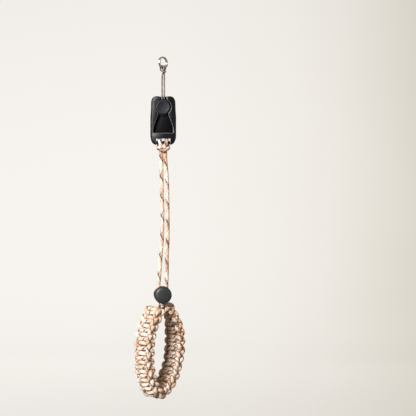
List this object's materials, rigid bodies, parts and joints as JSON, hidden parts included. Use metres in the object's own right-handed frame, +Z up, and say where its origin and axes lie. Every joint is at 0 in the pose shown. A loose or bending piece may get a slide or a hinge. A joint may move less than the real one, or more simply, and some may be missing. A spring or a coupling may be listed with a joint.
{
  "type": "camera wrist strap",
  "caption": "Camera wrist strap hanging from its split ring: quick-release link, paracord legs with a spring cord lock, and a knotted wrist loop.",
  "frame": {"origin": "inside top of the split ring, where the strap hangs from a camera's strap lug", "axes": "+Z up along the hanging strap, Y the way a hand goes through the wrist loop, X across the loop"},
  "size_m": [0.0527, 0.0236, 0.3237],
  "materials": {
    "steel": "polished",
    "anchor_cord": "tight braid",
    "disc_plastic": "fine grain",
    "link_plastic": "satin",
    "tongue_plastic": "satin",
    "paracord": "woven sheath, cream and tan with a dark tracer",
    "lock_plastic": "satin"
  },
  "bodies": {
    "strap": {"lug_ring": "steel", "anchor_cord": "anchor_cord", "anchor_disc": "disc_plastic", "link_housing": "link_plastic", "link_tongue": "tongue_plastic", "strap_cord": "paracord", "lock_barrel": "lock_plastic", "wrist_braid": "paracord"},
    "button": {"lock_button": "lock_plastic"}
  },
  "joints": [
    {"name": "lock_press", "type": "slide", "parent": "strap", "child": "button", "axis": [0.6691, 0.7431, 0], "range_m": [0, 0.0035], "stiffness_N_per_m": 400, "springref_m": -0.004}
  ]
}
